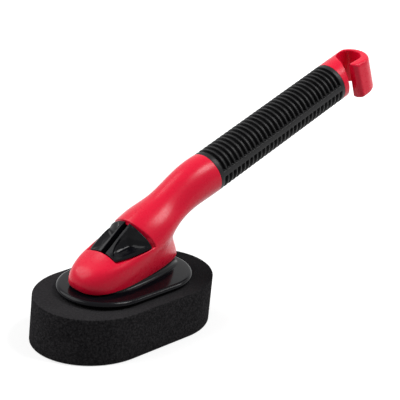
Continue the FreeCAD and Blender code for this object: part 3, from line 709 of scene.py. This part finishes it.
def makeFoam():
    # the oval carried upwards, with a small quarter circle at each edge and rings drawn in
    # across both flat faces
    skin = Skin()
    shape = padShape
    edge, top = shape["edge"], shape["top"]
    corner = quarterEdge(edge, 5)
    rows = [ovalRing(shape, inset) for inset in shape["rings"][::-1]]
    rows += [ovalRing(shape, short, drawn) for drawn, short in corner]
    rows += [ovalRing(shape, 0, z) for z in np.linspace(edge, top - edge, 14)[1:-1]]
    rows += [ovalRing(shape, drawn, top - short) for drawn, short in corner]
    rows += [ovalRing(shape, inset, top) for inset in shape["rings"]]
    foam = skin.tube(rows).piece("foamPad", "pad", ["foam_pad"], "foam", blackFoam, crease=60)
    return foam


def mouthOutline(outline, inset):
    # the head's mouth at the turn that faces each point of the plate's oval
    turn = np.arctan2(outline[:, 1] / plateShape["width"], -outline[:, 0] / plateShape["length"])
    return headPoint(np.zeros(len(turn)), turn, inset)


def makePlate():
    # the oval's profile: glued face, step, rim with a round edge, flat top, then a hollow
    # flare up to the head's mouth, and the register that stands inside the head
    skin = Skin()
    shape = plateShape
    outer = ovalRing(shape, 0)
    top, bond, bondInset, rim = (shape[k] for k in ("top", "bond", "bondInset", "rim"))
    bondEdge, rimEdge = shape["bondEdge"], shape["rimEdge"]
    profile = [(bondInset + bondEdge, bond), (bondInset, bond + bondEdge), (bondInset, rim),
               (rimEdge, rim), (0.3 * rimEdge, rim + 0.3 * rimEdge), (0, rim + rimEdge)]
    profile += [(drawn, top - short) for drawn, short in quarterEdge(shape["edge"], 8)]
    rows = [ovalRing(shape, inset, z) for inset, z in profile]
    flare, over = shape["flare"], shape["overhang"]
    for b in np.linspace(0, math.pi / 2, 14):
        line = mouthOutline(outer, over - (flare + over) * (1 - math.sin(b)))
        height = line[:, 2] - shape["mouthGap"] - top
        rows.append(level(line[:, :2], top + height * (1 - math.cos(b))))
    run = headCurve(0.0)
    normal = unit(np.array([-(run[3] - run[1]), 0, run[2] - run[0]]))
    wall, high, clear = headShape["wall"], shape["register"], shape["registerClear"]
    edge = shape["registerEdge"]
    for depth, rise in ((wall + clear, -clear), (wall + clear, high - edge),
                        (wall + (clear + edge), high), (wall + shape["registerWidth"], high)):
        rows.append(mouthOutline(outer, depth) + normal * rise)
    skin.tube(rows)
    back, front = shape["catchX"]
    for side in (1, -1):
        for faces, foot in ((shape["wallY"], shape["catchFoot"]), (shape["lipY"], shape["lipUnder"])):
            near, far = sorted(side * face for face in faces)
            roundedBlock(skin, (back, near, foot), (front, far, shape["catchTop"]), shape["catchEdge"])
    return skin.piece("padPlate", "pad", ["pad_plate"], "black_plastic", blackPlastic, crease=40)


makeFoam()
makePlate()
print("pad and plate made")

gripShape = {
    "grooves": 30, "pitch": 4.52, "width": 3.1, "depth": 2.3, "bore": 12.6,
    # degrees from the top: where the upper grooves end, where the lower ones begin, and half
    # of the run over which they fade
    "topHalf": 72.0, "underFrom": 90.0, "fade": 2,
    "wall": (0.34, 0.22),       # a groove's wall runs this far to each side of its edge
    "round": 0.5,
}


def makeSleeve():
    # radius - depth * groove(station) * part(turn) round the handle's axis
    skin = Skin()
    shape = gripShape
    radius, length, pitch = handleShape["radius"], handleShape["length"], shape["pitch"]
    first = (length - pitch * (shape["grooves"] - 1)) / 2
    half = shape["width"] / 2
    nearEdge = np.array([-0.35, -0.12, 0, 0.12, 0.4])        # rows set close at a groove's edge
    offsets = np.concatenate([[-0.5 * pitch], -half + nearEdge, [0.0], half - nearEdge[::-1]])
    stations = (first + pitch * np.arange(shape["grooves"])[:, None] + offsets).ravel()
    stations = np.concatenate([stations, [stations[-1] + 0.6]])
    centre = first + pitch * np.clip(np.round((stations - first) / pitch), 0, shape["grooves"] - 1)
    away = np.abs(stations - centre)
    groove = 1 - ease(half - shape["wall"][0], half + shape["wall"][1], away)
    upper, under, fade = shape["topHalf"], shape["underFrom"], shape["fade"]
    # columns by degrees from the top, close together where the grooves fade
    marks = [(-180, 22), (-under - 3, 7), (-under + 3, 3), (-upper - 3, 7), (-upper + 3, 44),
             (upper - 3, 7), (upper + 3, 3), (under - 3, 7), (under + 3, 22), (180, 0)]
    turn = np.radians(np.concatenate([np.linspace(low, high, count, endpoint=False)
                                      for (low, count), (high, _) in zip(marks, marks[1:])]))
    angle = np.abs(np.degrees(turn))
    part = ease(upper + fade, upper - fade, angle) + ease(under - fade, under + fade, angle)
    spread = radius - shape["depth"] * groove[:, None] * part
    around = handleUp * np.cos(turn)[:, None] + sideways * np.sin(turn)[:, None]
    body = handleStart + handleAxis * stations[:, None, None] + around * spread[..., None]
    ring = lambda s, r: (handleStart + handleAxis * s + around * r)[None]
    corner = quarterEdge(shape["round"], 5)
    lowEnd = [ring(short, radius - drawn) for drawn, short in corner[::-1]]
    highEnd = [ring(length - short, radius - drawn) for drawn, short in corner]
    nearBore, farBore = ring(0, shape["bore"]), ring(length, shape["bore"])
    rows = [nearBore] + lowEnd + [body] + highEnd + [farBore, nearBore]
    skin.patch(np.concatenate(rows), closed=True)
    return skin.piece("gripSleeve", "handle", ["grip_sleeve"], "grip_rubber", gripRubber, crease=45)


makeSleeve()
print("sleeve made")

hookShape = {
    "spigotRadius": 9.85, "spigotLength": 24.0,
    "collar": 5.0,
    "centre": 21.6, "side": -4.0,
    "topRadius": 14.1, "bottomRadius": 16.4,
    "top": 14.2, "topAngle": 6.8, "bottom": -15.3,
    "armStart": 12.0,
    "eyeRadius": 9.4, "eyeSide": -2.3,
    "tip": 11.0, "tipDraft": 0.09, "tipRound": 4.5,
    "innerEdge": 0.9, "outerEdge": 2.4, "collarEdge": 0.3, "spigotEdge": 0.6,
    "bendTurn": 75,      # degrees round the eye where the bend's stations end
    # stations along the collar, arm, bend, eye and tongue, and how far the last are drawn in
    "steps": (10, 16, 24, 70, 34), "closing": (0.12, 0.5),
}


def makeHookCap():
    # a rounded rectangle carried along the hook: each station has an inner and an outer point,
    # and between them the profile spans from the flat bottom to the sloping top; wherever it
    # would leave the collar's cylinder it is drawn in to it
    skin = Skin()
    shape = hookShape
    radius, centre = handleShape["radius"], shape["centre"]

    def tangent(fromS, fromY, centreY, circle):
        # the point where a line from (fromS, fromY) touches the circle: the heading to its
        # centre plus the arcsine of circle / distance, and a run of the root of
        # distance squared - circle squared
        spanS, spanY = centre - fromS, centreY - fromY
        distance = math.hypot(spanS, spanY)
        heading = math.atan2(spanY, spanS) + math.asin(circle / distance)
        run = math.sqrt(distance ** 2 - circle ** 2)
        return np.array([fromS + run * math.cos(heading), fromY + run * math.sin(heading)])

    def line(start, end, count):
        w = np.linspace(0, 1, count)[:, None]
        return np.asarray(start) * (1 - w) + np.asarray(end) * w

    def arc(centreY, circle, start, end, count):
        turn = np.linspace(start, end, count)
        return np.column_stack([centre + circle * np.cos(turn), centreY + circle * np.sin(turn)])

    def joined(first, *others):
        # each stretch begins where the one before it ends, so that point is left out
        return np.concatenate([first] + [stretch[1:] for stretch in others])

    collarSteps, armSteps, bendSteps, eyeSteps, tongueSteps = shape["steps"]
    eye = shape["eyeRadius"]
    touch = tangent(shape["collar"], -radius, shape["eyeSide"], eye)
    touchTurn = math.atan2(touch[1] - shape["eyeSide"], touch[0] - centre)

    def outerPath(circle):
        # along the collar, out along the arm, round the hook and back to a rounded tip
        stops = [(start, radius) for start in (0.0, shape["collar"], shape["armStart"])]
        bend = tangent(shape["armStart"], radius, shape["side"], circle)
        turn = math.atan2(bend[1] - shape["side"], bend[0] - centre)
        near, tipRound = shape["side"] - circle, shape["tipRound"]
        tip = line((centre, near), (shape["tip"], near), tongueSteps)
        away = np.clip(tip[:, 0] - shape["tip"], 0, tipRound)
        tip[:, 1] += tipRound - np.sqrt(tipRound ** 2 - (tipRound - away) ** 2 * 0.97)
        return joined(line(stops[0], stops[1], collarSteps), line(stops[1], stops[2], armSteps),
                      line(stops[2], bend, bendSteps),
                      arc(shape["side"], circle, turn, -math.pi / 2, eyeSteps), tip)

    collarEnd, bendTurn = (shape["collar"], -radius), math.radians(shape["bendTurn"])
    eyeFoot = shape["eyeSide"] - eye
    inner = joined(line((0.0, -radius), collarEnd, collarSteps), line(collarEnd, touch, armSteps),
                   arc(shape["eyeSide"], eye, touchTurn, bendTurn, bendSteps),
                   arc(shape["eyeSide"], eye, bendTurn, -math.pi / 2, eyeSteps),
                   line((centre, eyeFoot), (shape["tip"], eyeFoot), tongueSteps))
    outerTop, outerBottom = outerPath(shape["topRadius"]), outerPath(shape["bottomRadius"])
    onCollar = np.arange(len(inner)) < collarSteps + armSteps + bendSteps - 2
    # the profile's columns: which way along each side, and round each corner
    corner, run = np.linspace(0, math.pi / 2, 6), np.linspace(0, 1, 12)[1:-1]
    c, s, one, nil = np.cos(corner), np.sin(corner), np.ones(6), np.zeros(6)
    ones, zeros = np.ones(len(run)), np.zeros(len(run))
    across = np.concatenate([one, 1 - run, nil, zeros, nil, run, one, ones])
    acrossEdge = np.concatenate([c, zeros, -s, -ones, -c, zeros, s, ones])
    upward = np.concatenate([one, ones, one, 1 - run, nil, zeros, nil, run])
    upwardEdge = np.concatenate([s, ones, c, zeros, -s, -ones, -c, zeros])
    isOuter = np.concatenate([one, ones, nil, zeros, nil, ones, one, ones]) > 0.5
    middle = (outerTop + outerBottom) / 2
    width = np.linalg.norm(middle - inner, axis=1)[:, None]
    edge = np.where(isOuter, shape["outerEdge"], shape["innerEdge"])[None]
    edge = np.minimum(edge, width * 0.45)
    x = edge + across * (width - 2 * edge) + edge * acrossEdge
    share = x / width
    slope = math.tan(math.radians(shape["topAngle"]))
    flat = inner[:, None] + (middle - inner)[:, None] * share[..., None]
    top = shape["top"] - slope * (flat[..., 0] - centre)
    bottom = shape["bottom"]
    height = bottom + edge + upward * (top - bottom - 2 * edge) + edge * upwardEdge
    part = ((height - bottom) / (shape["top"] - bottom))[..., None]
    outer = outerBottom[:, None] * (1 - part) + outerTop[:, None] * part
    flat = inner[:, None] + (outer - inner[:, None]) * share[..., None]
    tongue = (np.arange(len(inner)) > len(inner) - tongueSteps)[:, None]
    draft = shape["tipDraft"] * (shape["top"] - height)
    far = np.clip((centre - inner[:, 0]) / (centre - shape["tip"]), 0, 1)[:, None]
    station = flat[..., 0] + np.where(tongue, draft * far, 0)
    side = flat[..., 1]
    spread = np.hypot(side, height)
    fitting = np.minimum(1, radius / np.maximum(spread, 1e-6))
    drawIn = np.where((side > 0) | onCollar[:, None], fitting, 1)
    side, height = side * drawIn, height * drawIn
    origin = handleStart + handleAxis * handleShape["length"]

    def place(s, y, n):
        # from along, across and up the handle to the shared frame
        return (origin + handleAxis * s[..., None] + sideways * y[..., None]
                + handleUp * n[..., None])

    hook = place(station, side, height)
    # spigot and the collar's flat ring, on the same columns
    first = unit(np.stack([side[0], height[0]], -1))
    ring = lambda s, r: place(np.full(len(first), s), first[:, 0] * r, first[:, 1] * r)
    small, rounding, start = shape["spigotRadius"], shape["spigotEdge"], -shape["spigotLength"]
    lead = np.stack([ring(start, small - rounding), ring(start + rounding, small),
                     ring(-0.001, small), ring(-0.001, radius - shape["collarEdge"])])
    # the tongue's end, rounded over
    last = hook[-1]
    heart = last.mean(0)
    closing = [last + (heart - last) * k for k in shape["closing"]]
    skin.tube(np.concatenate([lead, hook, closing]))
    return skin.piece("hookCap", "handle", ["hook_cap"], "red_plastic", redPlastic, crease=38, weld=2e-6)


makeHookCap()
print("hook cap made")

springShape = {"x": -8.0, "z": 55.0, "radius": 2.4, "wire": 0.3, "turns": 5.0, "half": 3.6}


def makeSpringHalf(side):
    # half of a helix across the head: a small circle carried along
    # (radius cos a, half-length w, radius sin a)
    shape = springShape
    w = np.linspace(0, 1, 140)
    turn = side * math.pi * shape["turns"] * w
    radial = np.column_stack([np.cos(turn), 0 * turn, np.sin(turn)])
    out = sideways * (side * w * shape["half"])[:, None]
    path = np.array([shape["x"], 0, shape["z"]]) + radial * shape["radius"] + out
    forward = unit(np.gradient(path, axis=0))
    binormal = unit(np.cross(forward, radial))
    ring = np.linspace(0, 2 * math.pi, 10, endpoint=False)[None, :, None]
    wire = radial[:, None] * np.cos(ring) + binormal[:, None] * np.sin(ring)
    skin = Skin().tube(path[:, None] + shape["wire"] * wire)
    name, body = ("springRight", "right_tab") if side > 0 else ("springLeft", "left_tab")
    made = skin.piece(name, None, ["tab_spring"], "steel", screwSteel, crease=60)
    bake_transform(made)
    return made


makeSpringHalf(1)
makeSpringHalf(-1)
print("spring made")

# pieces of the CAD that are kept as they are, and only take a material
carriedOver = {"pad_adhesive": glueFilm, "tab_carrier": blackPlastic, "carrier_screws": screwSteel,
               "core_tube": tubeAluminium, "lock_pin": screwSteel}
for node, material in carriedOver.items():
    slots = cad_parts[node].data.materials
    if slots:
        slots[0] = material
    else:
        slots.append(material)
print("carried-over parts finished")

cameraShape = {
    "azimuth": -49.4, "elevation": 21.9, "roll": 6.0,       # degrees
    "distance": 1150.0, "aim": (60.0, 0.0, 70.0), "shiftRight": 8.8, "shiftUp": 12.2,
    "focal": 143.7, "sensor": 36, "clip": (0.05, 20),
}


def setUp(name, data, right, up, back, place):
    # a camera or a lamp at place, in metres, that faces away from back
    made = newObject(name, data)
    matrix = np.eye(4)
    matrix[:3] = np.column_stack([right, up, back, place])
    made.matrix_world = Matrix(matrix.tolist())
    return made


def makeCamera():
    # looks at the aim from the azimuth and elevation, then rolls, then slides in its own plane
    shape = cameraShape
    az, el, roll = (math.radians(shape[k]) for k in ("azimuth", "elevation", "roll"))
    back = np.array([math.sin(az) * math.cos(el), -math.cos(az) * math.cos(el), math.sin(el)])
    right = unit(np.cross(-back, [0, 0, 1]))
    up = np.cross(right, -back)
    right, up = (right * math.cos(roll) + up * math.sin(roll),
                 up * math.cos(roll) - right * math.sin(roll))
    place = (np.array(shape["aim"]) + back * shape["distance"] + right * shape["shiftRight"]
             + up * shape["shiftUp"])
    lens = bpy.data.cameras.new("camera")
    lens.lens, lens.sensor_width = shape["focal"], shape["sensor"]
    lens.clip_start, lens.clip_end = shape["clip"]
    bpy.context.scene.camera = setUp("camera", lens, right, up, back, place / 1000)


makeCamera()
print("camera made")

lampShapes = {
    # degrees round from the heel's end, degrees up, distance, width and height, power
    "windowLamp": (130, 44, 1.4, (1.5, 1.1), 21.0),
    "topLamp": (-52, 60, 1.3, (0.38, 0.5), 12.0),
    "sideLamp": (-30, 34, 1.3, (0.25, 0.3), 3.0),
}
lampTarget = (0.06, 0, 0.07)


def makeLamps():
    # area lamps, each turned to the target from its own direction
    for name, (turn, rise, distance, (wide, tall), power) in lampShapes.items():
        light = bpy.data.lights.new(name, "AREA")
        light.shape, light.size, light.size_y, light.energy = "RECTANGLE", wide, tall, power
        turn, rise = math.radians(turn), math.radians(rise)
        back = np.array([math.cos(rise) * math.cos(turn), math.cos(rise) * math.sin(turn),
                         math.sin(rise)])
        right = unit(np.cross([0, 0, 1], back))
        place = np.array(lampTarget) + back * distance
        setUp(name, light, right, np.cross(back, right), back, place)


makeLamps()
print("lamps made")

stageShape = {
    "half": 4.0, "below": 0.0002,   # the floor's half width, and how far it lies under the pad
    "ambient": 0.17,     # the world's light on matt surfaces
    "floorColour": (0.5, 0.5, 0.5),
    "floorWhiteAndPaintedLight": (0.58, 1.0),       # the floor's white glow under the object, and far from it: the rise is painted light
    # where the floor's painted light is centred, and the distances over which it rises
    "paintedLightCentre": (0.09, 0, 0), "paintedLightFrom": 0.25, "paintedLightTo": 0.8,
}


def seenDirectly(shade):
    # 1 for camera, glossy and transmission rays, and 0 for the rest
    camera, glossy, clear = [shade.add("ShaderNodeLightPath", {}, {}, "Is %s Ray" % kind)
                             for kind in ("Camera", "Glossy", "Transmission")]
    return camera.maths("MAXIMUM", camera, glossy.maths("MAXIMUM", glossy, clear))


def makeStage():
    # a wide pale floor under the pad, whose glow rises away from the object as painted light,
    # and a world that is seen and mirrored white
    shape = stageShape
    world = bpy.data.worlds.new("studio")
    bpy.context.scene.world = world
    sky = Shader(world)
    seen = seenDirectly(sky)
    backdrop = sky.add("ShaderNodeBackground", {}, {"Color": (1, 1, 1, 1),
                                                    "Strength": seen + (1 - seen) * shape["ambient"]})
    sky.add("ShaderNodeOutputWorld", {}, {"Surface": backdrop})
    half, low = shape["half"], -shape["below"]
    mesh = bpy.data.meshes.new("studioFloor")
    mesh.from_pydata([(-half, -half, low), (half, -half, low), (half, half, low), (-half, half, low)],
                     [], [(0, 1, 2, 3)])
    floor = newObject("studioFloor", mesh)
    made, paper = newMaterial("floorPaper")
    matt = paper.add("ShaderNodeBsdfDiffuse", {}, {"Color": (*shape["floorColour"], 1)})
    # painted light: the floor's glow grows with distance from the object
    away = paper.add("ShaderNodeVectorMath", {"operation": "DISTANCE"},
                     {0: paper.place, 1: shape["paintedLightCentre"]}, "Value")
    whiteAndPaintedLight = paper.add("ShaderNodeMapRange", {"interpolation_type": "SMOOTHSTEP"},
                     {"Value": away, "From Min": shape["paintedLightFrom"], "From Max": shape["paintedLightTo"],
                      "To Min": shape["floorWhiteAndPaintedLight"][0], "To Max": shape["floorWhiteAndPaintedLight"][1]})
    glow = paper.add("ShaderNodeEmission", {}, {"Color": (1, 1, 1, 1),
                                                "Strength": seenDirectly(paper) * whiteAndPaintedLight})
    both = paper.add("ShaderNodeAddShader", {}, {0: matt, 1: glow})
    paper.add("ShaderNodeOutputMaterial", {}, {"Surface": both})
    mesh.materials.append(made)


makeStage()
bpy.context.scene.view_settings.view_transform = "Standard"
print("studio made")
